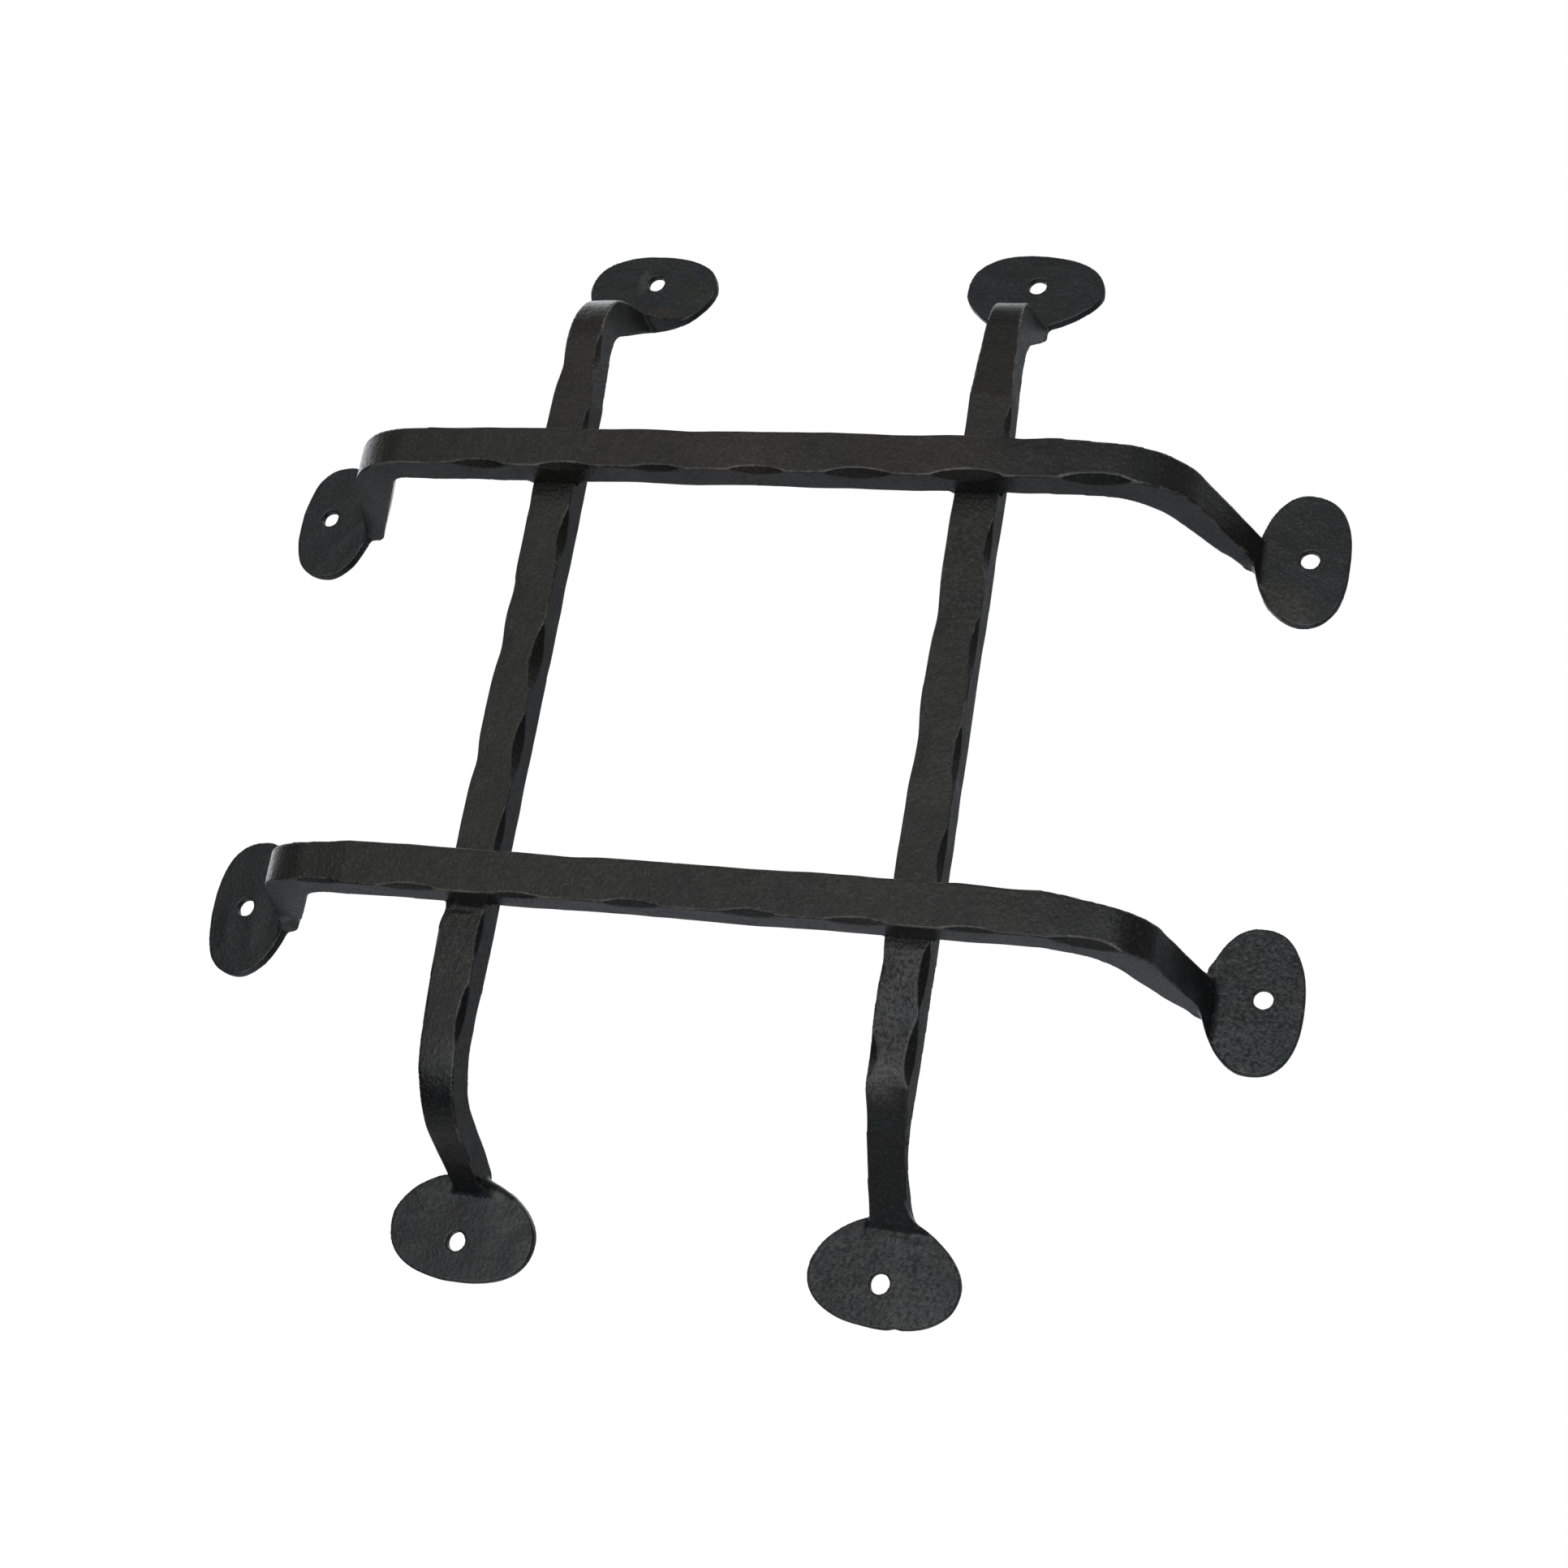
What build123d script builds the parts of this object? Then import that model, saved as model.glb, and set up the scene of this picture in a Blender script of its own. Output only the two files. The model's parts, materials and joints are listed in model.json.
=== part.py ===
from build123d import *
from dataclasses import dataclass, field
from math import cos, radians, sin, sqrt, tan
import os

# A speakeasy door grille, hand forged. Four flat iron bars cross like a hash sign in front of a small viewing
# window. The crossbars lie in front of the uprights and are welded to them in the corners behind. Each bar
# bends back to the door at both ends, and is hammered out there into an oval foot with one screw hole.
#
# Millimetres, as it hangs on the door: +X right, +Z up, -Y out of the door towards the visitor. The door's face
# is the plane y = 0, and the origin is the middle of the window.
#
# Every bar is drawn lying like a crossbar. u runs outward along the bar from its middle, to the right or to the
# left, v is up across its width, and w is the height above the door. An upright is the same drawing turned a
# quarter turn, so that its right end becomes the top, and v is to the left.

BAR_WIDTH = 11.6
BAR_THICKNESS = 9.15
UPRIGHT_STANDOFF = 32.3
UPRIGHT_OFFSET = 58.0
CROSSBAR_OFFSET = 59.8

# From the middle of a bar to the screw hole at its end, before each end's own stretch.
CROSSBAR_REACH = 141.0
UPRIGHT_REACH = 141.6

# A foot's thickness is measured at its screw hole. It thins out towards the tip by its taper, in degrees.
FOOT_THICKNESS = 2.5
FOOT_TAPER = 2.0
HEEL_RADIUS = 4.0
TOE_RADIUS = 1.5
SCREW_HOLE = 5.0

# How full a foot's rounded outline is beyond its widest place, and between there and the bar, and how high over
# the door its shoulder ends on a side where it doesn't run on up the leg as a web.
FOOT_FULLNESS = 0.65
SHOULDER_FULLNESS = 0.50
SHOULDER_HEIGHT = 3.0

# The radius along the bar that a hammer blow leaves, and how far its facet leans off the bar's front face: a lot
# on the lower and right edges, which were struck from the side, and less on the other edges.
BLOW_RADIUS = 33.0
SIDE_BLOW_LEAN = 60.0
FRONT_BLOW_LEAN = 30.0

WELD_LEG = 3.2
WELD_TOE = 0.3
WELD_SETBACK = 0.6

# How far each bar lies off square, in degrees.
LEFT_UPRIGHT_SKEW = -0.23
RIGHT_UPRIGHT_SKEW = 0.23
UPPER_CROSSBAR_SKEW = 0.04
LOWER_CROSSBAR_SKEW = -0.04


@dataclass
class Foot:
    """One foot's outline. Each place is (u, v) from the centre of its screw hole."""

    tip: tuple
    widest_up: tuple
    widest_down: tuple
    root: tuple
    fullness: float = FOOT_FULLNESS
    shoulder: float = SHOULDER_FULLNESS


@dataclass
class End:
    """One end of a bar: how it droops, bends back to the door, and comes down as a leg to the foot."""

    foot: Foot
    stretch: float
    side: float
    landing: float
    heel: float
    front_slope: float
    back_slope: float
    front_radius: float
    back_radius: float
    droop: float
    droop_from: float
    lean: float
    neck: float
    droop_radius: float = 12.0
    crotch_up: float = 1.5
    crotch_down: float = 1.5
    web_up: bool = True
    web_down: bool = True
    blows_up: list = field(default_factory=list)
    blows_down: list = field(default_factory=list)


@dataclass
class Bar:
    """A bar with its right and left ends, which are an upright's top and bottom."""

    right: End
    left: End
    standoff: float
    reach: float
    crossing: float

    @property
    def front(self):
        return self.standoff + BAR_THICKNESS

    @property
    def ends(self):
        return (self.right, 1), (self.left, -1)


def meet(first, first_fall, second, second_fall):
    """Where two falling lines cross, each given by a point (u, w) and its fall in degrees."""
    one, two = tan(radians(first_fall)), tan(radians(second_fall))
    u = (first[1] - second[1] + one * first[0] - two * second[0]) / (one - two)
    return u, first[1] - one * (u - first[0])


def droop_start(end, bar):
    """Where the bar's front face leaves the straight, beyond the bar that it crosses."""
    return bar.crossing + end.droop_from


def face_paths(end, bar):
    """The corners (u, w) and bend radii of the front and back faces, from the straight part out past the tip."""
    hole = bar.reach + end.stretch
    land = (hole - end.landing, FOOT_THICKNESS)
    heel = (land[0] - end.heel, 0)
    tip = hole + end.foot.tip[0] + BAR_WIDTH / 2
    start = droop_start(end, bar)
    back_start = start - BAR_THICKNESS * tan(radians(end.droop / 2))
    face = (hole, FOOT_THICKNESS)
    front_path = [
        ((start, bar.front), end.droop_radius),
        (meet((start, bar.front), end.droop, land, end.front_slope), end.front_radius),
        (meet(land, end.front_slope, face, FOOT_TAPER), TOE_RADIUS),
        (meet(face, FOOT_TAPER, (tip, 0), 90), 0),
    ]
    back_path = [
        ((back_start, bar.standoff), end.droop_radius),
        (meet((back_start, bar.standoff), end.droop, heel, end.back_slope), end.back_radius),
        (heel, HEEL_RADIUS),
        ((tip, 0), 0),
    ]
    return front_path, back_path


def side_prism(bar):
    """The bar as seen from the side, drawn right through."""
    corners = []
    for end, sign in bar.ends:
        front_path, back_path = face_paths(end, bar)
        run = front_path + back_path[::-1]
        corners += [((sign * u, w), radius) for (u, w), radius in run[::sign]]
    profile = FilletPolyline(
        [place for place, _ in corners], radius=[radius for _, radius in corners], close=True
    )
    plane = Plane(origin=(0, 0, 0), x_dir=(1, 0, 0), z_dir=(0, 0, -1))
    return extrude(plane * make_face(profile), amount=3 * BAR_WIDTH, both=True)


def edge_place(end, bar, u, side):
    """The place v of the bar's upper (side 1) or lower (side -1) edge, as it narrows and leans to the neck."""
    start = droop_start(end, bar)
    land = bar.reach + end.stretch - end.landing
    share = max((u - start) / (land - start), 0)
    return share * end.lean + side * (BAR_WIDTH + share * (end.neck - BAR_WIDTH)) / 2


def foot_outline(end, bar, sign):
    """The foot's oval, as four curves between its tip, its two widest places and its root."""
    foot = end.foot
    hole = bar.reach + end.stretch

    def quarter(wide, end_place, fullness):
        """From a widest place, where the outline runs along u, to one where it runs along v."""
        handle_wide = (wide[0] + fullness * (end_place[0] - wide[0]), wide[1])
        handle_end = (end_place[0], end_place[1] + fullness * (wide[1] - end_place[1]))
        spots = (wide, handle_wide, handle_end, end_place)
        return Bezier(*[(sign * (hole + u), end.side + v) for u, v in spots])

    return Wire([
        quarter(foot.widest_up, foot.tip, foot.fullness),
        quarter(foot.widest_down, foot.tip, foot.fullness),
        quarter(foot.widest_down, foot.root, foot.shoulder),
        quarter(foot.widest_up, foot.root, foot.shoulder),
    ])


def front_prism(bar):
    """The bar and its feet as seen from the front, drawn right through, with the crotches rounded."""
    upper, lower = [], []
    for end, sign in bar.ends[::-1]:
        stations = (droop_start(end, bar), bar.reach + end.stretch)[::sign]
        upper += [(sign * u, edge_place(end, bar, u, 1)) for u in stations]
        lower += [(sign * u, edge_place(end, bar, u, -1)) for u in stations]
    plane = Plane(origin=(0, 0, 0), x_dir=(1, 0, 0), z_dir=(0, -1, 0))
    depth = bar.front + BAR_WIDTH
    solid = extrude(plane * make_face(Polyline(upper + lower[::-1], close=True)), amount=depth)
    for end, sign in bar.ends:
        foot = extrude(plane * make_face(foot_outline(end, bar, sign)), amount=depth)
        for side, web in ((1, end.web_up), (-1, end.web_down)):
            if not web:
                middle = Vector(sign * (bar.reach + end.stretch), -SHOULDER_HEIGHT, end.lean)
                align = (Align.CENTER, Align.MAX, Align.MIN if side == 1 else Align.MAX)
                foot -= Pos(middle) * Box(depth, depth, depth, align=align)
        solid += foot
    for end, sign in bar.ends:
        neck_u = bar.reach + end.stretch - end.landing
        for side, radius, web in ((1, end.crotch_up, end.web_up), (-1, end.crotch_down, end.web_down)):
            height = depth if web else SHOULDER_HEIGHT
            place = Vector(sign * neck_u, -height / 2, edge_place(end, bar, neck_u, side))
            solid = fillet(solid.edges().sort_by_distance(place)[0], radius=radius)
    return solid


def blow(end, bar, sign, u, side, length):
    """The round-faced cutter for one hammer mark on a front edge, as long as the mark is along the edge."""
    lean = radians(FRONT_BLOW_LEAN if side == 1 else SIDE_BLOW_LEAN)
    start = droop_start(end, bar)
    fall = radians(end.droop) if u > start else 0
    height = bar.front - max(u - start, 0) * tan(fall)
    off_face = Vector(sign * sin(fall), -cos(fall), 0)
    outward = off_face * cos(lean) + Vector(0, 0, side * sin(lean))
    across = off_face * sin(lean) - Vector(0, 0, side * cos(lean))
    corner = Vector(sign * u, -height, edge_place(end, bar, u, side))
    lift = sqrt(BLOW_RADIUS**2 - (length / 2) ** 2)
    cutter = Cylinder(BLOW_RADIUS, 2 * BAR_WIDTH, align=Align.CENTER)
    return Plane(origin=corner + outward * lift, z_dir=across) * cutter


def forged_bar(bar):
    """A whole bar with its two feet, lying like a crossbar through the origin."""
    solid = side_prism(bar) & front_prism(bar)
    for end, sign in bar.ends:
        hole = Plane(origin=(sign * (bar.reach + end.stretch), 0, end.side), z_dir=(0, -1, 0))
        solid -= hole * Cylinder(SCREW_HOLE / 2, 4 * FOOT_THICKNESS)
        for side, blows in ((1, end.blows_up), (-1, end.blows_down)):
            for u, length in blows:
                solid -= blow(end, bar, sign, u, side, length)
    return solid


def weld_bead(side):
    """One bead in the corner between an upright's side and a crossbar's back, centred on the crossing."""
    seat_plane = Plane(origin=(side * BAR_WIDTH / 2, -UPRIGHT_STANDOFF - BAR_THICKNESS, 0), z_dir=(0, 0, 1))
    crossbar_toe = (side * WELD_LEG, WELD_TOE)
    upright_toe = (side * WELD_TOE, WELD_LEG)
    hollow = (side * WELD_LEG * 0.4, WELD_LEG * 0.4)
    seat = Polyline([upright_toe, (0, WELD_LEG), (0, 0), (side * WELD_LEG, 0), crossbar_toe])
    surface = ThreePointArc(crossbar_toe, hollow, upright_toe)
    section = seat_plane * make_face(seat.edges() + surface.edges())
    return extrude(section, amount=BAR_WIDTH / 2 - WELD_SETBACK, both=True)


upper_right = End(
    foot=Foot(tip=(10.5, 1.3), widest_up=(-2.0, 18.6), widest_down=(-0.5, -19.0), root=(-14.3, -1.0)),
    stretch=-1.7, side=-2.6, landing=12.1, heel=3.8, front_slope=69, back_slope=60.4, front_radius=21.5,
    back_radius=21.5, droop=3.1, droop_from=19.1, lean=-1.6, neck=8.0, web_up=False,
    blows_down=[(1.2, 17.7), (28.5, 19.4), (57.3, 20.5), (90.7, 20.5)],
)
upper_left = End(
    foot=Foot(
        tip=(9.0, -2.5), widest_up=(-3.3, 17.3), widest_down=(-2.8, -18.9), root=(-14.5, 0.3), fullness=0.67
    ),
    stretch=4.0, side=0.5, landing=13.3, heel=4.2, front_slope=70.9, back_slope=61.8, front_radius=22,
    back_radius=6.3, droop=1.9, droop_from=16.7, lean=-0.2, neck=9.6,
    blows_down=[(26.2, 16.7), (52.1, 17.7), (76.8, 18.5), (102.3, 9)],
)
lower_right = End(
    foot=Foot(
        tip=(10.2, 0.1), widest_up=(-1.8, 17.8), widest_down=(-1.4, -19.5), root=(-14.2, -2.2), shoulder=0.57
    ),
    stretch=-2.7, side=-2.2, landing=11.2, heel=3.8, front_slope=75.3, back_slope=65, front_radius=12.8,
    back_radius=12.9, droop=4.7, droop_from=31.8, lean=-4.2, neck=9.0, crotch_up=3.0, web_up=False,
    blows_down=[(20.1, 16.8), (46.8, 17.2), (74.2, 15), (100, 19.2)],
)
lower_left = End(
    foot=Foot(
        tip=(10.4, 0.6), widest_up=(-2.4, 19.4), widest_down=(-1.7, -19.3), root=(-14.0, 0.7), fullness=0.69
    ),
    stretch=0.2, side=-0.4, landing=12.4, heel=4.0, front_slope=70.6, back_slope=61, front_radius=17.5,
    back_radius=12.3, droop=3.5, droop_from=30.6, lean=-1.4, neck=8.4,
    blows_down=[(10.4, 17.1), (40.7, 15), (69.8, 17.1), (95.8, 15.2)],
)
left_top = End(
    foot=Foot(
        tip=(9.3, 2.3), widest_up=(-2.6, 19.9), widest_down=(-2.0, -19.2), root=(-17.2, 3.7), shoulder=0.48
    ),
    stretch=-0.6, side=-0.8, landing=13.1, heel=2.5, front_slope=70.8, back_slope=57.1, front_radius=23,
    back_radius=13, droop=1.5, droop_from=20.2, lean=0.8, neck=7.4,
    blows_down=[(2.9, 21.4), (37.9, 18.8), (70.2, 15.5), (95.8, 15.1)],
)
left_bottom = End(
    foot=Foot(tip=(10.1, -2.1), widest_up=(-3.3, 18.9), widest_down=(-2.1, -21.1), root=(-17.5, 1.4)),
    stretch=2.6, side=1.2, landing=11.9, heel=5.6, front_slope=66, back_slope=60.8, front_radius=28,
    back_radius=20, droop=1.5, droop_from=11.6, lean=-0.3, neck=8.2, crotch_down=6.0, web_up=False,
    web_down=False,
    blows_down=[(22.8, 19.7), (46.8, 16.1), (73.5, 14.2), (94.7, 17.5)],
)
right_top = End(
    foot=Foot(
        tip=(10.3, 2.8), widest_up=(-2.0, 20.3), widest_down=(-2.2, -19.0), root=(-14.4, 3.7), shoulder=0.43
    ),
    stretch=-2.0, side=1.8, landing=13.7, heel=2.6, front_slope=71.5, back_slope=56.8, front_radius=15,
    back_radius=19.7, droop=5.4, droop_from=22.8, lean=0.7, neck=6.8, crotch_up=2.2,
    blows_down=[(10.9, 17.9), (38.5, 17.1), (72.2, 16.5)],
)
right_bottom = End(
    foot=Foot(
        tip=(10.8, -2.4), widest_up=(-0.9, 18.4), widest_down=(-0.7, -20.0), root=(-16.6, -0.3), shoulder=0.47
    ),
    stretch=0.0, side=4.0, landing=12.2, heel=5.9, front_slope=45.1, back_slope=59.3, front_radius=15.8,
    back_radius=28.6, droop=15.2, droop_from=8.8, droop_radius=5.1, lean=3.9, neck=9.2, crotch_down=5.0,
    web_up=False,
    blows_down=[(17.8, 17.4), (45, 17.5), (75.8, 18.5), (94.9, 19.6)], blows_up=[(72.7, 9), (94.5, 17)],
)

CROSSBAR_STANDOFF = UPRIGHT_STANDOFF + BAR_THICKNESS
upper_crossbar = forged_bar(Bar(upper_right, upper_left, CROSSBAR_STANDOFF, CROSSBAR_REACH, UPRIGHT_OFFSET))
lower_crossbar = forged_bar(Bar(lower_right, lower_left, CROSSBAR_STANDOFF, CROSSBAR_REACH, UPRIGHT_OFFSET))
left_upright = forged_bar(Bar(left_top, left_bottom, UPRIGHT_STANDOFF, UPRIGHT_REACH, CROSSBAR_OFFSET))
right_upright = forged_bar(Bar(right_top, right_bottom, UPRIGHT_STANDOFF, UPRIGHT_REACH, CROSSBAR_OFFSET))

parts = {
    "upper_crossbar": Pos(0, 0, CROSSBAR_OFFSET) * Rot(0, UPPER_CROSSBAR_SKEW, 0) * upper_crossbar,
    "lower_crossbar": Pos(0, 0, -CROSSBAR_OFFSET) * Rot(0, LOWER_CROSSBAR_SKEW, 0) * lower_crossbar,
    "left_upright": Pos(-UPRIGHT_OFFSET, 0, 0) * Rot(0, LEFT_UPRIGHT_SKEW - 90, 0) * left_upright,
    "right_upright": Pos(UPRIGHT_OFFSET, 0, 0) * Rot(0, RIGHT_UPRIGHT_SKEW - 90, 0) * right_upright,
}
for column, offset, skew in (
    ("left", -UPRIGHT_OFFSET, LEFT_UPRIGHT_SKEW),
    ("right", UPRIGHT_OFFSET, RIGHT_UPRIGHT_SKEW),
):
    for row, height in (("upper", CROSSBAR_OFFSET), ("lower", -CROSSBAR_OFFSET)):
        crossing = Pos(offset, 0, 0) * Rot(0, skew, 0) * Pos(0, 0, height)
        parts[f"weld_{row}_{column}"] = Compound(children=[crossing * weld_bead(side) for side in (1, -1)])

os.makedirs("parts", exist_ok=True)
for name, part in parts.items():
    export_step(part, f"parts/{name}.step")
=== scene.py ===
import json
import math

import bmesh
import bpy
import numpy as np
from mathutils import Matrix, Vector, noise

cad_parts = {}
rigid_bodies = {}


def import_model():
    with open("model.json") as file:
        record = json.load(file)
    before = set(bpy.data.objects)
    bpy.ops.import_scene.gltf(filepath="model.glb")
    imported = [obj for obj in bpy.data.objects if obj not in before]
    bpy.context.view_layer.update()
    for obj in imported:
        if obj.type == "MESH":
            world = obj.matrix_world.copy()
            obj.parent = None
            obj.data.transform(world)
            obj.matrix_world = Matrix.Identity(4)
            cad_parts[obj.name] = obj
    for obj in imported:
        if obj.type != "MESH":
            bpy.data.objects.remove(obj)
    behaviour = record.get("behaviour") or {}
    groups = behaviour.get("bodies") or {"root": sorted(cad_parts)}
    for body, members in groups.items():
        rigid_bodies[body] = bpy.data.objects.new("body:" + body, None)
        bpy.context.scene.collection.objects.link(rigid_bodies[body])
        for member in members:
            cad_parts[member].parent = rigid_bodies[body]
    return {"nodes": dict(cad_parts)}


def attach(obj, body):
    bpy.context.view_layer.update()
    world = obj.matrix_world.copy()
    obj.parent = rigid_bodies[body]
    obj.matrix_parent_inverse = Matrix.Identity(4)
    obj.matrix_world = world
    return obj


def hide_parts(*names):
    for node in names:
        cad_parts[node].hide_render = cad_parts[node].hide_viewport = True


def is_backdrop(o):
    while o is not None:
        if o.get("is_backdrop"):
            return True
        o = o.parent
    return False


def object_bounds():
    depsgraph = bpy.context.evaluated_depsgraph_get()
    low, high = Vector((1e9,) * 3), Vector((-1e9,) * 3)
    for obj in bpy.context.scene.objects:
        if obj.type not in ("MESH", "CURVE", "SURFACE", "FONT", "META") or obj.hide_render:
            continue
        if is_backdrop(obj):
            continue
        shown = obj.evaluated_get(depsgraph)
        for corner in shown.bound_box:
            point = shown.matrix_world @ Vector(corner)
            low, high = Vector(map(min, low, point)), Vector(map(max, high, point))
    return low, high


# A hand-forged speakeasy door grille, shown as it hangs on its door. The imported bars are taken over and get
# their hammered surface here. Blender's unit is the metre, but the lengths in the tables below are in
# millimetres, and x runs to the right, y into the door and z up.

MM = 0.001
BARS = ("upper_crossbar", "lower_crossbar", "left_upright", "right_upright")
WELDS = ("weld_upper_left", "weld_upper_right", "weld_lower_left", "weld_lower_right")

# How far the uprights and the crossbars lie from the middle of the grille.
UPRIGHT_OFFSET = 58.0
CROSSBAR_OFFSET = 59.8

# The camera, fitted to the photograph: its place, the way it looks, its roll in degrees, its lens and sensor,
# and the nearest that it sees.
CAMERA_PLACE = (199.57, -584.75, -229.99)
CAMERA_FORWARD = (-0.29506, 0.8958, 0.33239)
CAMERA_ROLL = 9.772
CAMERA_LENS = 56.083
CAMERA_SENSOR = 36.0
CAMERA_NEAR = 10.0

# The fine mesh of a bar: the size of its voxels, how near points are to be joined, and how much it is
# relaxed, from 0 to 1.
VOXEL = 0.45
JOIN = 0.001
RELAX = 0.4

# The hammered surface: the seed, without which noise_vector gives other waves in each run, and for each kind of
# unevenness the distance from bump to bump and the height.
PATTERN_SEED = 1
WAVE_LENGTH, WAVE_HEIGHT = 22.0, 0.34
RIPPLE_LENGTH, RIPPLE_HEIGHT = 7.0, 0.09
DIMPLE_LENGTH, DIMPLE_HEIGHT = 8.0, 0.22
DIMPLE_ON_BAR = 0.5
PATTERN_SHIFT = (17.3, 5.1, 11.7)

# Where a bar is free of its crossings, and where its foot starts: from none of it to all of it.
CROSSING_NEAR, CROSSING_FAR = 7.0, 14.0
FOOT_LOW, FOOT_HIGH = 2.0, 9.0

# A worn edge: the rounds of averaging that it stands out from, and how far it stands out, least and range.
EDGE_ROUNDS = 5
EDGE_LEAST = 0.012
EDGE_RANGE = 0.07

# Marks of forging. A dent: its middle, the way it is pushed, its reach along each axis, and its depth.
DENTS = (
    ((-63.8, -41.4, 90.0), (1, 0.4, 0), (3, 3, 4.5), 0.7),
    ((-63.8, -41.4, 22.0), (1, 0.5, 0), (3, 3, 5.0), 0.5),
    ((-63.8, -41.4, 5.0), (1, 0.4, 0), (3, 3, 5.0), 0.6),
    ((-63.8, -41.4, -27.0), (1, 0.4, 0), (3, 3, 4.5), 0.6),
    ((-63.8, -41.4, -67.6), (1, 0.1, 0), (3, 3, 2.6), 0.8),
    ((52.2, -41.4, 20.0), (1, 0.5, 0), (3, 3, 5.0), 0.5),
    ((52.2, -41.4, -15.0), (1, 0.5, 0), (3, 3, 8.0), 0.8),
    ((52.2, -41.4, -73.0), (1, 0.5, 0), (3, 3, 5.5), 0.7),
    ((64.5, -30.0, -104.0), (1, 0, 0), (3, 12, 4.5), 0.7),
    ((58.0, -38.0, -108.0), (0, -1, 0), (14, 14, 6.5), 1.4),
    ((124.5, -4.0, -57.0), (-0.4, 0, 1), (3.5, 6, 3), 1.5),
    ((58.5, -2.0, -152.4), (0, 0, 1), (1.2, 3, 3), 0.55),
    ((-122.0, -6.0, -66.5), (-0.4, 0, 1), (3.5, 7, 3.5), 2.4),
    ((-20.0, -50.6, 65.6), (0, 0.5, -1), (7, 3, 3), 0.4),
    ((70.0, -50.6, 65.6), (0, 0.5, -1), (8, 3, 3), 0.5),
    ((-84.0, -50.6, 65.6), (0, 0.5, -1), (7, 3, 3), 0.3),
    ((-30.0, -50.6, -54.0), (0, 0.5, -1), (8, 3, 3), 0.4),
    ((84.0, -50.0, -54.4), (0, 0.5, -1), (7, 3, 3), 0.4),
)

# A ridge is a raised line on the faces that look out of the door, or a groove where its height is below zero:
# its two ends (x, z), its half width and its height. Then how squarely such a face looks out, from the least
# to enough for the full height.
RIDGES = (
    ((49.0, -129.4), (61.5, -131.6), 0.8, 0.22),
    ((-63.0, -128.6), (-55.0, -128.0), 0.6, 0.15),
    ((60.6, -133.5), (61.8, -141.0), 0.7, -0.12),
    ((-62.0, -66.4), (-53.0, -66.9), 0.7, 0.14),
    ((-60.0, -69.0), (-54.5, -68.3), 0.7, 0.10),
    ((52.5, -70.5), (61.0, -70.0), 0.9, 0.10),
)
FACING_LEAST, FACING_ENOUGH = 0.6, 0.9

# The thin webs where legs meet their feet, drawn out smooth: the middle of each and its reach, then the share
# of the reach up to which a web is full, and the rounds of smoothing.
WEBS = (
    ((124.0, -7.0, 49.0), (14, 9, 7.5)),
    ((124.0, -8.5, -75.5), (14, 11, 9.0)),
    ((-50.4, -5.0, -131.0), (6, 7, 6.0)),
)
WEB_FULL, WEB_GONE = 0.75, 1.0
WEB_ROUNDS = 22

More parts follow.
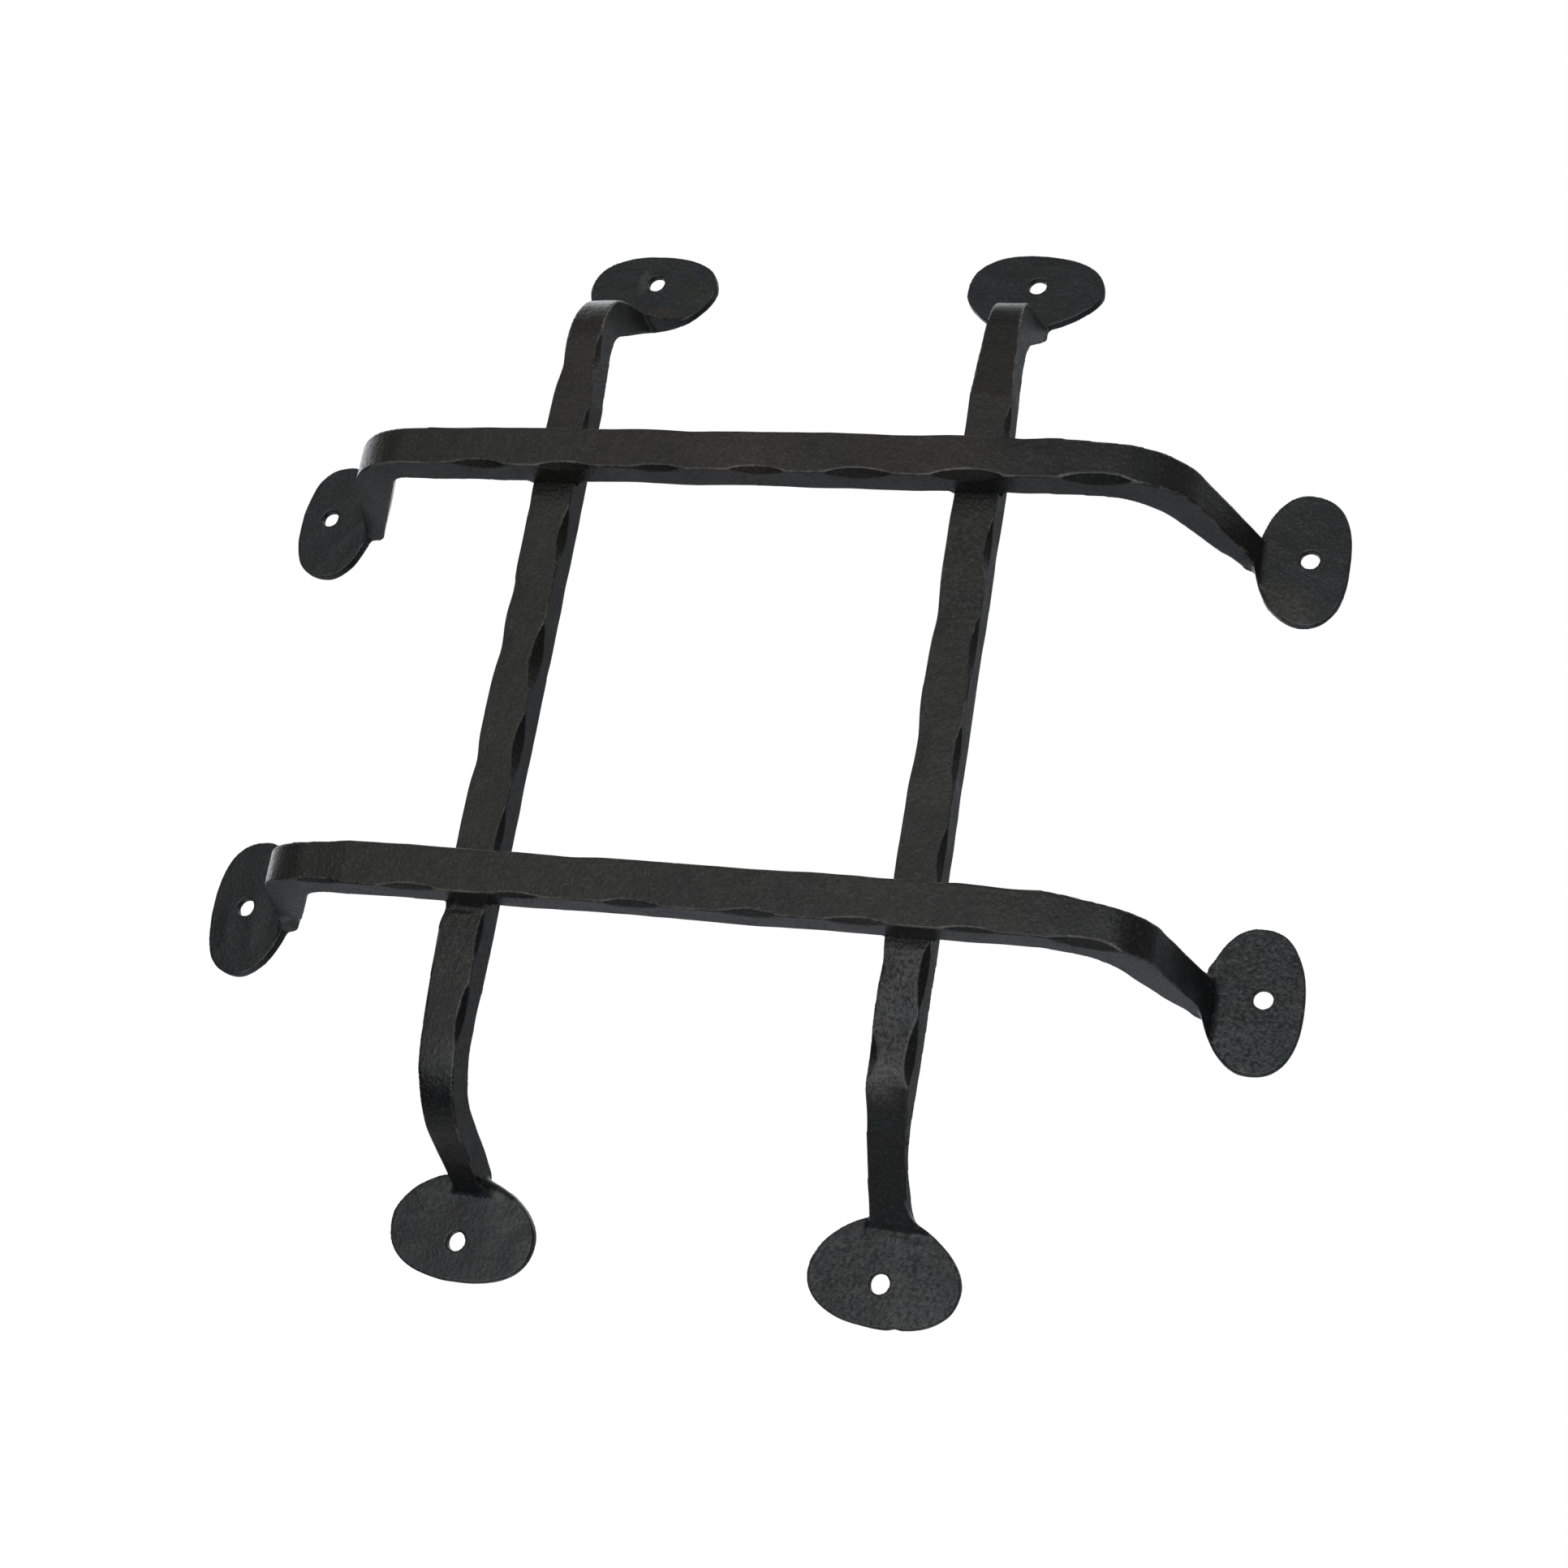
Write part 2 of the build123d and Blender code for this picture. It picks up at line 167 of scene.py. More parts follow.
# Stains and painted shading: the middle of each and its reach, its colour, and how strong it is. Some are
# stains of the iron; others are painted shade and painted light, as marked below.
BROWN = (0.0230, 0.0135, 0.0085)
OLIVE = (0.0050, 0.0058, 0.0010)
MOSS = (0.0240, 0.0250, 0.0150)
GREEN = (0.0040, 0.0170, 0.0140)
PALE = (0.0550, 0.0550, 0.0530)
BLUE = (0.0100, 0.0150, 0.0230)
# The colour of painted shade, laid where the iron is only in shade.
PAINTED_SHADE = (0.0010, 0.0017, 0.0025)
STAINS_AND_PAINTED_SHADING = (
    ((-5.0, -50.6, 60.0), (18, 9, 9), BROWN, 0.75),
    ((42.0, -50.6, 60.0), (22, 9, 9), BROWN, 0.30),
    # Painted shade at the right end of the upper crossbar's front and along its underside.
    ((88.0, -50.6, 60.0), (34, 9, 10), PAINTED_SHADE, 0.95),
    ((85.0, -45.0, 53.6), (42, 9, 2), PAINTED_SHADE, 0.90),
    # Painted shade down the right side of the right upright, and on the left foot of the lower crossbar.
    ((63.9, -36.0, -8.0), (2, 10, 62), PAINTED_SHADE, 0.95),
    ((-146.0, -2.5, -62.0), (18, 5, 28), PAINTED_SHADE, 0.60),
    ((-88.0, -50.6, 60.0), (55, 9, 10), OLIVE, 0.85),
    ((-58.0, -41.4, 26.0), (9, 9, 50), OLIVE, 0.95),
    ((-58.0, -41.4, 97.0), (7, 7, 14), BROWN, 0.45),
    # Painted shade at the bend of the left upright's lower leg.
    ((-59.0, -32.0, -112.0), (9, 20, 16), PAINTED_SHADE, 0.95),
    ((-61.0, -38.0, -97.0), (10, 14, 12), PAINTED_SHADE, 0.90),
    ((-53.8, -2.5, 129.5), (6, 5, 4), BROWN, 0.80),
    ((-61.5, -2.5, 142.0), (2.2, 4, 4.5), PALE, 0.55),
    # Painted shade on the left part of the left upright's lower foot, and painted light on its right part.
    ((-64.0, -2.5, -139.0), (11, 5, 15), PAINTED_SHADE, 1.00),
    ((-46.2, -2.5, -136.3), (7, 5, 7), PALE, 0.35),
    ((-40.0, -2.5, -146.0), (3, 5, 7), PALE, 0.30),
    ((126.5, -2.5, 60.0), (4, 5, 9), BROWN, 0.45),
    # Painted shade on the upper part of the upper crossbar's right foot, and painted light on its lower part.
    ((136.0, -2.5, 64.0), (13, 5, 12), PAINTED_SHADE, 1.00),
    ((137.7, -2.5, 40.0), (8, 5, 5), PALE, 0.25),
    ((133.0, -2.5, 43.0), (11, 5, 9), MOSS, 0.75),
    # Painted light, bluish like a reflection, on the lower part of the lower crossbar's right foot.
    ((138.0, -2.5, -74.5), (11, 5, 8), BLUE, 0.75),
    ((131.5, -2.5, -76.0), (7, 5, 11), PALE, 0.35),
    # Painted shade at the right end of the lower crossbar's front, and a painted shadow under the right
    # upright's leg across the top of its lower foot.
    ((98.0, -48.0, -60.0), (17, 12, 9), PAINTED_SHADE, 1.00),
    ((54.0, -2.5, -129.0), (17, 5, 3.5), PAINTED_SHADE, 1.00),
    ((126.9, -2.5, -57.0), (0.8, 4, 4.5), PALE, 0.90),
    # Painted shade on the left part of the right upright's lower foot.
    ((46.0, -2.5, -143.0), (11, 5, 13), PAINTED_SHADE, 0.90),
    ((55.8, -2.5, -134.2), (8, 5, 4.5), GREEN, 0.85),
    # Painted light on the lower right of the right upright's lower foot.
    ((62.0, -2.5, -146.0), (11, 5, 8), PALE, 0.28),
    # Painted light at the bend of the right upright's lower leg, where its face turns, and painted shade on
    # that leg near its foot.
    ((53.5, -32.0, -107.5), (8, 12, 3.4), GREEN, 0.95),
    ((53.5, -36.0, -99.5), (8, 12, 7.0), PALE, 0.90),
    ((57.0, -20.0, -121.0), (12, 22, 15), PAINTED_SHADE, 0.95),
    # Painted light, bluish like a reflection, on the undersides of the crossbars' legs, and painted shade under
    # the lower crossbar.
    ((122.0, -25.0, -67.5), (18, 22, 6), BLUE, 0.85),
    ((-119.0, -28.0, 53.6), (12, 22, 4), PALE, 0.60),
    ((-116.0, -29.0, -66.4), (12, 22, 4), BLUE, 0.80),
    ((-8.0, -46.0, -66.4), (50, 9, 2), PAINTED_SHADE, 0.90),
    ((58.2, -39.0, -84.0), (5, 5, 4), BLUE, 0.60),
    ((63.8, -37.0, 32.0), (1.2, 1.2, 9), PALE, 0.90),
    ((63.6, -38.5, 12.0), (1.0, 1.0, 8), PALE, 0.70),
    ((-134.0, -10.0, -52.0), (3, 5, 7), PALE, 0.40),
)
SHADING_AND_STAIN_FULL, SHADING_AND_STAIN_GONE = 0.45, 1.15

# Where the surface is coarse: the middle of each patch, its reach, and how coarse it is, from 0 to 1.
PLAIN_COARSENESS = 0.35
COARSE = (
    ((137.0, -2.0, -62.0), (22, 9, 28), 1.00),
    ((132.0, -2.0, 54.0), (20, 9, 26), 0.50),
    ((57.0, -2.0, -141.0), (25, 9, 18), 0.75),
    ((-53.0, -2.0, -141.0), (25, 9, 18), 0.38),
    ((57.0, -40.0, -82.0), (9, 12, 18), 0.80),
    ((-57.5, -40.0, -75.0), (9, 12, 14), 0.55),
    ((59.0, -41.0, 32.0), (8, 8, 22), 0.60),
)
COARSE_FULL, COARSE_GONE = 0.75, 1.1

# The colours of the iron, away from its stains.
BAR_BLACK = (0.0040, 0.0039, 0.0037, 1)
BAR_BROWN = (0.0080, 0.0074, 0.0064, 1)
FOOT_GREEN = (0.0020, 0.0062, 0.0046, 1)
FOOT_BLUE = (0.0028, 0.0064, 0.0120, 1)
PIT_BLACK = (0.0010, 0.0010, 0.0010, 1)
GRAIN_BLACK = (0.0012, 0.0012, 0.0012, 1)
FLECK_GREY = (0.0420, 0.0440, 0.0450, 1)
SPECK_WHITE = (0.120, 0.122, 0.120, 1)
WORN_GREY = (0.110, 0.106, 0.098, 1)

# The patterns of the iron, from broad clouds down to single specks: for each its waves to the metre, its
# detail, its roughness and its distortion. The plates of scale on the feet are cells, so many to the metre.
CLOUD = (34.0, 3.0, 0.55, 0.0)
PATCH = (130.0, 4.0, 0.6, 0.5)
MOTTLE = (900.0, 3.0, 0.6, 0.3)
GRAIN = (1500.0, 3.0, 0.6, 0.0)
SPECK = (2700.0, 2.0, 0.6, 0.0)
PLATE_SCALE = 190.0

# Over which range of its pattern each tone sets in. It runs downwards where the first number is the larger.
BROWN_RANGE = (0.36, 0.64)
BLUE_RANGE = (0.56, 0.66)
RAGGED_RANGE = (0.30, 0.60)
PIT_RANGE = (0.49, 0.39)
FLECK_RANGE = (0.53, 0.66)
GRAIN_RANGE = (0.60, 0.40)
SPECK_RANGE = (0.64, 0.74)
PATCHY_RANGE = (0.42, 0.60)
WEAR_RANGE = (0.42, 1.1)
SMOOTH_RANGE = (0.30, 0.72)

# How strongly each of them shows, and the least that ragged stains and patchy wear keep.
PLATE_SHARE = 0.22
RAGGED_LEAST = 0.55
PATCHY_LEAST = 0.10
PIT_SHARE = 0.85
FLECK_SHARE = 0.65
GRAIN_SHARE = 0.65
SPECK_SHARE = 0.45
WORN_SHARE = 0.52
LESS_WORN_ON_FOOT = 0.70

# The shine and the fine relief of the iron.
SMOOTHEST, ROUGHEST = 0.24, 0.34
PIT_ROUGHNESS = 0.35
GRAIN_RELIEF = 0.35
PLAIN_RELIEF = 0.5
BUMP_STRENGTH = 0.60
BUMP_DISTANCE = 0.30
SHINE = 0.30

# The room: its brightness low down, high up and behind, and between which heights and depths these change.
# A height or depth here is that part of a direction of length 1.
LOW_ROOM = (0.060, 0.062, 0.068, 1)
HIGH_ROOM = (0.280, 0.280, 0.280, 1)
BACK_ROOM = (0.168, 0.172, 0.182, 1)
ROOM_LOW, ROOM_HIGH = -0.35, 0.45
ROOM_BESIDE, ROOM_BEHIND = 0.10, 0.60

# The soft lights: the direction of each, how many degrees from its middle it is full and gone, and its
# colour, which is also its brightness.
PANELS = (
    ((0.35, -0.40, 0.85), 10, 28, (1.30, 1.30, 1.30, 1)),
    ((-0.33, -0.86, 0.39), 8, 25, (1.22, 1.19, 1.14, 1)),
    ((0.06, -0.952, -0.301), 16, 43, (2.80, 2.82, 2.86, 1)),
    ((0.60, 0.77, 0.20), 6, 16, (0.55, 0.58, 0.62, 1)),
    ((-0.17, 0.76, -0.62), 23, 34, (0.38, 0.395, 0.44, 1)),
    ((-0.62, 0.50, 0.60), 18, 38, (2.00, 2.03, 2.10, 1)),
    ((0.25, 0.42, 0.87), 12, 32, (1.50, 1.52, 1.55, 1)),
)

# The white backdrop that shiny surfaces see is a round patch the way the camera looks, with degrees as above.
WHITE = (1, 1, 1, 1)
BACKDROP_FULL, BACKDROP_GONE = 16, 21

# The floor, in metres: how far below and behind the grille its middle lies, and its radius. It keeps the
# shadow, and glows for the camera. Shiny surfaces see only a share of that glow.
FLOOR_DEPTH = 1.2
FLOOR_BACK = 0.55
FLOOR_RADIUS = 1.0
FLOOR_SIDES = 96
FLOOR_GREY = 0.5
FLOOR_ROUGHNESS = 0.9
FLOOR_GLOSS = 0.1
FLOOR_GLOW = 0.78
FLOOR_SHINE = 0.12

scene = bpy.context.scene
for old in list(scene.objects):
    bpy.data.objects.remove(old)
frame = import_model()
cad_low, cad_high = (np.array(corner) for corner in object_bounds())


def place_camera():
    forward = Vector(CAMERA_FORWARD).normalized()
    level = forward.cross(Vector((0, 0, 1))).normalized()
    upright = level.cross(forward)
    roll = math.radians(CAMERA_ROLL)
    right = level * math.cos(roll) + upright * math.sin(roll)
    up = upright * math.cos(roll) - level * math.sin(roll)
    data = bpy.data.cameras.new("camera")
    data.lens = CAMERA_LENS
    data.sensor_width = CAMERA_SENSOR
    data.clip_start = CAMERA_NEAR * MM
    camera = bpy.data.objects.new("camera", data)
    turn = Matrix((right, up, -forward)).transposed().to_4x4()
    camera.matrix_world = Matrix.Translation(Vector(CAMERA_PLACE) * MM) @ turn
    scene.collection.objects.link(camera)
    scene.camera = camera


class Tree:
    """A node tree with short calls for the nodes that are used here."""

    def __init__(self, holder):
        holder.use_nodes = True
        self.nodes = holder.node_tree.nodes
        self.links = holder.node_tree.links
        self.nodes.clear()

    def add(self, kind, inputs=None, **settings):
        node = self.nodes.new(kind)
        for key, value in settings.items():
            setattr(node, key, value)
        for key, value in (inputs or {}).items():
            self.feed(node.inputs[key], value)
        return node

    def feed(self, socket, value):
        if isinstance(value, bpy.types.NodeSocket):
            self.links.new(value, socket)
        else:
            socket.default_value = value

    def math(self, operation, *values, clamp=False):
        node = self.add("ShaderNodeMath", operation=operation, use_clamp=clamp)
        for socket, value in zip(node.inputs, values):
            self.feed(socket, value)
        return node.outputs[0]

    def ramp(self, value, low, high, to_low=0.0, to_high=1.0):
        node = self.add(
            "ShaderNodeMapRange",
            {"Value": value, "From Min": low, "From Max": high, "To Min": to_low, "To Max": to_high},
            interpolation_type="SMOOTHSTEP",
        )
        return node.outputs[0]

    def mix(self, share, first, second):
        """Two colours mixed. A mix node has sockets for other kinds of value too, so these go by number."""
        node = self.add("ShaderNodeMix", data_type="RGBA")
        self.feed(node.inputs[0], share)
        self.feed(node.inputs[6], first)
        self.feed(node.inputs[7], second)
        return node.outputs[2]

    def noise(self, place, scale, detail, roughness, distortion):
        inputs = {"Vector": place, "Scale": scale, "Detail": detail}
        inputs.update({"Roughness": roughness, "Distortion": distortion})
        return self.add("ShaderNodeTexNoise", inputs).outputs["Fac"]

    def attribute(self, name, output):
        return self.add("ShaderNodeAttribute", attribute_name=name).outputs[output]


def grey(level):
    return (level, level, level, 1)


def panel(tree, spot, direction, full, gone):
    """How far a direction is in a round patch of the room: 1 up to full degrees off its middle, 0 at gone."""
    turn = tree.add("ShaderNodeVectorMath", operation="DOT_PRODUCT")
    tree.feed(turn.inputs[0], spot)
    tree.feed(turn.inputs[1], tuple(Vector(direction).normalized()))
    return tree.ramp(turn.outputs["Value"], math.cos(math.radians(gone)), math.cos(math.radians(full)))


def light_room():
    """A studio: a large soft light low in front, weaker ones above and behind, and a dim bluish room."""
    world = bpy.data.worlds.new("room")
    scene.world = world
    tree = Tree(world)
    spot = tree.add("ShaderNodeTexCoord").outputs["Generated"]
    axes = tree.add("ShaderNodeSeparateXYZ", {"Vector": spot})
    colour = tree.mix(tree.ramp(axes.outputs["Z"], ROOM_LOW, ROOM_HIGH), LOW_ROOM, HIGH_ROOM)
    colour = tree.mix(tree.ramp(axes.outputs["Y"], ROOM_BESIDE, ROOM_BEHIND), colour, BACK_ROOM)
    for direction, full, gone, shade in PANELS:
        colour = tree.mix(panel(tree, spot, direction, full, gone), colour, shade)
    rays = tree.add("ShaderNodeLightPath")
    shiny = tree.math("MAXIMUM", rays.outputs["Is Glossy Ray"], rays.outputs["Is Transmission Ray"])
    backdrop = tree.math("MULTIPLY", shiny, panel(tree, spot, CAMERA_FORWARD, BACKDROP_FULL, BACKDROP_GONE))
    seen = tree.math("MAXIMUM", rays.outputs["Is Camera Ray"], backdrop)
    colour = tree.mix(seen, colour, WHITE)
    background = tree.add("ShaderNodeBackground", {"Color": colour, "Strength": 1.0})
    tree.add("ShaderNodeOutputWorld", {"Surface": background.outputs[0]})


def lay_floor():
    """A round floor under and behind the grille, white to the camera where no shadow falls."""
    mesh = bpy.data.meshes.new("floor")
    shape = bmesh.new()
    bmesh.ops.create_circle(shape, cap_ends=True, radius=FLOOR_RADIUS, segments=FLOOR_SIDES)
    shape.to_mesh(mesh)
    shape.free()
    floor = bpy.data.objects.new("floor", mesh)
    floor.location = (0, FLOOR_BACK, -FLOOR_DEPTH)
    scene.collection.objects.link(floor)
    material = bpy.data.materials.new("floor_paint")
    tree = Tree(material)
    paint = tree.add("ShaderNodeBsdfPrincipled", {"Base Color": grey(FLOOR_GREY)})
    paint.inputs["Roughness"].default_value = FLOOR_ROUGHNESS
    paint.inputs["Specular IOR Level"].default_value = FLOOR_GLOSS
    paint.inputs["Emission Color"].default_value = WHITE
    rays = tree.add("ShaderNodeLightPath").outputs
    shiny = tree.math("ADD", rays["Is Glossy Ray"], rays["Is Transmission Ray"])
    seen = tree.math("ADD", rays["Is Camera Ray"], tree.math("MULTIPLY", shiny, FLOOR_SHINE), clamp=True)
    tree.feed(paint.inputs["Emission Strength"], tree.math("MULTIPLY", seen, FLOOR_GLOW))
    tree.add("ShaderNodeOutputMaterial", {"Surface": paint.outputs[0]})
    mesh.materials.append(material)
    floor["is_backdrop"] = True


def iron():
    """Blackened hand-forged iron: hammer scale, pits and flecks, worn edges, and the stains of each place, with
    painted shade and painted light among them.
    """
    material = bpy.data.materials.new("forged_iron")
    tree = Tree(material)
    place = tree.add("ShaderNodeTexCoord").outputs["Object"]
    wear = tree.attribute("wear", "Fac")
    foot = tree.attribute("foot", "Fac")
    coarse = tree.attribute("coarse", "Fac")
    # The stains with painted shade and painted light, a colour and a strength for each point.
    stain_and_painted_shading = tree.add("ShaderNodeAttribute", attribute_name="stain_and_painted_shading")

    cloud = tree.noise(place, *CLOUD)
    patch = tree.noise(place, *PATCH)
    mottle = tree.noise(place, *MOTTLE)
    grain = tree.noise(place, *GRAIN)
    speck = tree.noise(place, *SPECK)

    # The plain tone: clouds on the bars, and plates of scale on the feet.
    bar_tone = tree.mix(tree.ramp(cloud, *BROWN_RANGE), BAR_BLACK, BAR_BROWN)
    cells = tree.add("ShaderNodeTexVoronoi", {"Vector": place, "Scale": PLATE_SCALE}).outputs["Color"]
    cell = tree.add("ShaderNodeSeparateColor", {"Color": cells}).outputs[0]
    plate = tree.math("ADD", tree.math("MULTIPLY", cell, PLATE_SHARE), patch)
    foot_tone = tree.mix(tree.ramp(plate, *BLUE_RANGE), FOOT_GREEN, FOOT_BLUE)
    tone = tree.mix(foot, bar_tone, foot_tone)

    # The stains, with painted shade and painted light among them, which are ragged.
    ragged = tree.ramp(patch, *RAGGED_RANGE, RAGGED_LEAST, 1.0)
    tone = tree.mix(tree.math("MULTIPLY", stain_and_painted_shading.outputs["Alpha"], ragged), tone, stain_and_painted_shading.outputs["Color"])

    # Pits, flecks, grain and specks, and then the bare metal of worn edges.
    pit = tree.math("MULTIPLY", tree.ramp(mottle, *PIT_RANGE), coarse)
    tone = tree.mix(tree.math("MULTIPLY", pit, PIT_SHARE), tone, PIT_BLACK)
    fleck = tree.math("MULTIPLY", tree.ramp(mottle, *FLECK_RANGE), coarse)
    tone = tree.mix(tree.math("MULTIPLY", fleck, FLECK_SHARE), tone, FLECK_GREY)
    tone = tree.mix(tree.ramp(grain, *GRAIN_RANGE, 0.0, GRAIN_SHARE), tone, GRAIN_BLACK)
    tone = tree.mix(tree.ramp(speck, *SPECK_RANGE, 0.0, SPECK_SHARE), tone, SPECK_WHITE)
    patchy = tree.ramp(patch, *PATCHY_RANGE, PATCHY_LEAST, 1.0)
    on_bar = tree.math("SUBTRACT", 1.0, tree.math("MULTIPLY", foot, LESS_WORN_ON_FOOT))
    worn = tree.ramp(wear, *WEAR_RANGE, 0.0, WORN_SHARE)
    worn = tree.math("MULTIPLY", worn, tree.math("MULTIPLY", patchy, on_bar))
    tone = tree.mix(worn, tone, WORN_GREY)

    smooth = tree.ramp(patch, *SMOOTH_RANGE, SMOOTHEST, ROUGHEST)
    roughness = tree.math("ADD", smooth, tree.math("MULTIPLY", pit, PIT_ROUGHNESS))
    heights = tree.math("MULTIPLY", mottle, tree.math("ADD", coarse, PLAIN_RELIEF))
    relief = tree.math("ADD", tree.math("MULTIPLY", grain, GRAIN_RELIEF), heights)
    bump = tree.add(
        "ShaderNodeBump", {"Height": relief, "Strength": BUMP_STRENGTH, "Distance": BUMP_DISTANCE * MM}
    )
    shader = tree.add(
        "ShaderNodeBsdfPrincipled", {"Base Color": tone, "Roughness": roughness, "Normal": bump.outputs[0]}
    )
    shader.inputs["Specular IOR Level"].default_value = SHINE
    tree.add("ShaderNodeOutputMaterial", {"Surface": shader.outputs[0]})
    return material


def rebuilt(source):
    """A fine even mesh of a CAD node, drawn back onto its faces so that the creases stay crisp."""
    work = bpy.data.objects.new("work", source.data.copy())
    scene.collection.objects.link(work)
    shape = bmesh.new()
    shape.from_mesh(work.data)
    bmesh.ops.remove_doubles(shape, verts=shape.verts, dist=JOIN * MM)
    shape.to_mesh(work.data)
    shape.free()
    voxels = work.modifiers.new("voxels", "REMESH")
    voxels.mode = "VOXEL"
    voxels.voxel_size = VOXEL * MM
    wrap = work.modifiers.new("wrap", "SHRINKWRAP")
    wrap.target = source
    wrap.wrap_method = "NEAREST_SURFACEPOINT"
    relax = work.modifiers.new("relax", "SMOOTH")
    relax.factor = RELAX
    relax.iterations = 1
    bpy.context.view_layer.update()
    ready = work.evaluated_get(bpy.context.evaluated_depsgraph_get())
    mesh = bpy.data.meshes.new_from_object(ready)
    bpy.data.objects.remove(work)
    mesh.materials.clear()
    return mesh


def coordinates(mesh):
    flat = np.empty(len(mesh.vertices) * 3)
    mesh.vertices.foreach_get("co", flat)
    return flat.reshape(-1, 3)


def directions(mesh):
    flat = np.empty(len(mesh.vertices) * 3)
    mesh.vertex_normals.foreach_get("vector", flat)
    return flat.reshape(-1, 3)


def smoothed(mesh, values, rounds):
    """The values, one row for each vertex, after some rounds of averaging with their neighbours."""
    pairs = np.empty(len(mesh.edges) * 2, int)
    mesh.edges.foreach_get("vertices", pairs)
    first, second = pairs.reshape(-1, 2).T
    count = np.bincount(first, minlength=len(values)) + np.bincount(second, minlength=len(values))
    for _ in range(rounds):
        total = np.zeros_like(values)
        for column in range(values.shape[1]):
            total[:, column] = np.bincount(first, values[second, column], len(values))
            total[:, column] += np.bincount(second, values[first, column], len(values))
        values = 0.5 * values + 0.5 * total / count[:, None]
    return values


def store(mesh, name, values):
    layer = mesh.attributes.new(name, "FLOAT", "POINT")
    layer.data.foreach_set("value", np.clip(values, 0, 1).astype(np.float32))


def store_colours(mesh, name, colours):
    layer = mesh.attributes.new(name, "FLOAT_COLOR", "POINT")
    layer.data.foreach_set("color", colours.astype(np.float32).ravel())


def fade(values, low, high):
    """From 0 at low to 1 at high, eased at both ends."""
    share = np.clip((values - low) / (high - low), 0, 1)
    return share * share * (3 - 2 * share)


def apart_squared(spots, middle, reach):
    """The squared distance of each point from the middle, where 1 is the reach along each axis."""
    return (((spots - np.array(middle)) / np.array(reach)) ** 2).sum(1)


def dented(spots):
    """The points with the dents pressed into them."""
    moved = spots.copy()
    for middle, push, reach, depth in DENTS:
        press = np.array(push) / np.linalg.norm(push)
        moved += press * (depth * np.exp(-apart_squared(spots, middle, reach)))[:, None]
    return moved


def ridged(spots, outward):
    """How far each point on a face that looks out of the door is raised by the ridges, in millimetres."""
    rise = np.zeros(len(spots))
    facing = fade(-outward[:, 1], FACING_LEAST, FACING_ENOUGH)
    flat = spots[:, [0, 2]]
    for first, last, width, height in RIDGES:
        first, last = np.array(first), np.array(last)
        line = last - first
        share = np.clip((flat - first) @ line / (line @ line), 0, 1)
        off = np.linalg.norm(flat - first - share[:, None] * line, axis=1)
        rise += height * np.exp(-((off / width) ** 2)) * facing
    return rise


def in_webs(spots):
    """How far each point belongs to one of the thin webs, from 0 to 1."""
    amount = np.zeros(len(spots))
    for middle, reach in WEBS:
        away = np.sqrt(apart_squared(spots, middle, reach))
        amount = np.maximum(amount, 1 - fade(away, WEB_FULL, WEB_GONE))
    return amount


def coarseness(spots):
    """How coarse the surface is at each point, from 0 to 1."""
    amount = np.full(len(spots), PLAIN_COARSENESS)
    for middle, reach, strength in COARSE:
        away = np.sqrt(apart_squared(spots, middle, reach))
        amount = np.maximum(amount, strength * (1 - fade(away, COARSE_FULL, COARSE_GONE)))
    return amount


def stains_and_painted_shading(spots):
    """The colour and strength of the stains, and of the painted shade and painted light, at each point."""
    colours = np.zeros((len(spots), 4))
    colours[:, :3] = BROWN
    for middle, reach, colour, strength in STAINS_AND_PAINTED_SHADING:
        away = np.sqrt(apart_squared(spots, middle, reach))
        share = strength * (1 - fade(away, SHADING_AND_STAIN_FULL, SHADING_AND_STAIN_GONE))
        blend = (share / np.maximum(share + colours[:, 3], 1e-6))[:, None]
        colours[:, :3] += (np.array(colour) - colours[:, :3]) * blend
        colours[:, 3] = np.maximum(colours[:, 3], share)
    return colours


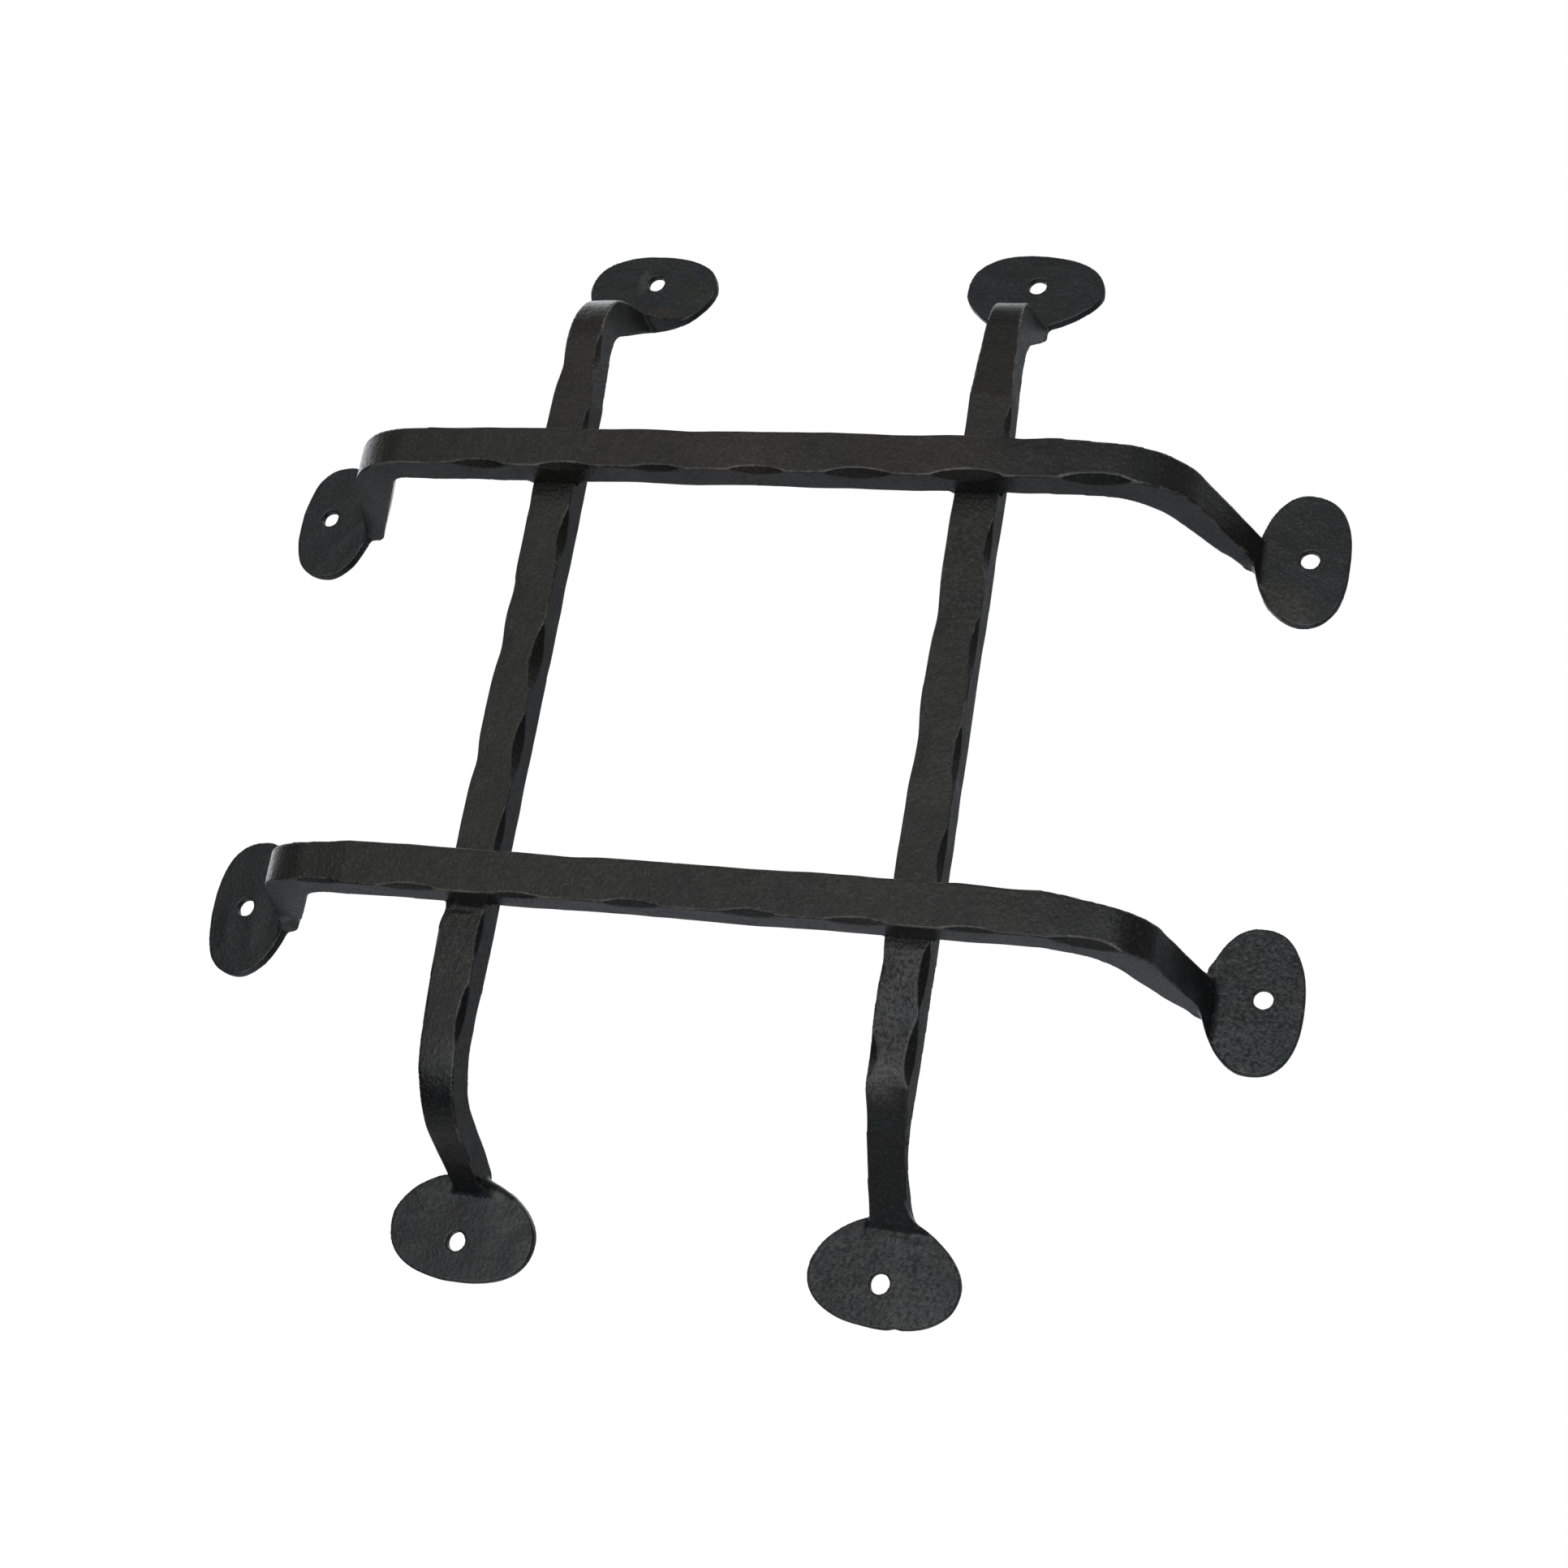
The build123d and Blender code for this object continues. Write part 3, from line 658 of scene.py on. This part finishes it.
def hammered(spots, outward, on_foot, seed):
    """The points of a bar with its dimples, waves and ripples. The last two leave the crossings alone."""
    beside = np.abs(np.abs(spots[:, 0]) - UPRIGHT_OFFSET)
    above = np.abs(np.abs(spots[:, 2]) - CROSSBAR_OFFSET)
    free = fade(np.maximum(beside, above), CROSSING_NEAR, CROSSING_FAR)
    shift = Vector([seed * part for part in PATTERN_SHIFT])
    waves = np.array([noise.noise_vector(Vector(spot) / WAVE_LENGTH + shift) for spot in spots])
    ripples = np.array([noise.noise_vector(Vector(spot) / RIPPLE_LENGTH - shift) for spot in spots])
    dimples = np.array([noise.noise(Vector(spot) / DIMPLE_LENGTH + shift * 2) for spot in spots])
    moved = spots + free[:, None] * (waves * WAVE_HEIGHT + ripples * RIPPLE_HEIGHT)
    share = DIMPLE_ON_BAR + (1 - DIMPLE_ON_BAR) * on_foot
    return moved - outward * (np.abs(dimples) * DIMPLE_HEIGHT * share)[:, None]


def forge(name, seed):
    """One bar with its hammered unevenness, and with its worn edges and feet marked for the material."""
    mesh = rebuilt(frame["nodes"][name])
    spots = coordinates(mesh) / MM
    outward = directions(mesh)
    on_foot = 1 - fade(-spots[:, 1], FOOT_LOW, FOOT_HIGH)
    moved = hammered(spots, outward, on_foot, seed)
    moved = dented(moved) + outward * ridged(spots, outward)[:, None]
    moved += in_webs(spots)[:, None] * (smoothed(mesh, moved, WEB_ROUNDS) - moved)
    moved[:, 1] = np.minimum(moved[:, 1], 0)
    moved = np.clip(moved * MM, cad_low, cad_high)
    mesh.vertices.foreach_set("co", moved.ravel())
    mesh.update()
    bulge = ((moved - smoothed(mesh, moved, EDGE_ROUNDS)) * directions(mesh)).sum(1) / MM
    store(mesh, "wear", (bulge - EDGE_LEAST) / EDGE_RANGE)
    store(mesh, "foot", on_foot)
    store(mesh, "coarse", coarseness(spots))
    # The stains with painted shade and painted light go to the material as a colour per point.
    store_colours(mesh, "stain_and_painted_shading", stains_and_painted_shading(spots))
    mesh.shade_smooth()
    mesh.materials.append(IRON)
    piece = bpy.data.objects.new(f"forged_{name}", mesh)
    scene.collection.objects.link(piece)
    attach(piece, "root")
    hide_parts(name)


noise.seed_set(PATTERN_SEED)
place_camera()
light_room()
lay_floor()
scene.view_settings.view_transform = "Standard"
IRON = iron()
for order, bar in enumerate(BARS):
    forge(bar, order + 1)
for weld in WELDS:
    node = frame["nodes"][weld]
    node.data.materials.clear()
    node.data.materials.append(IRON)
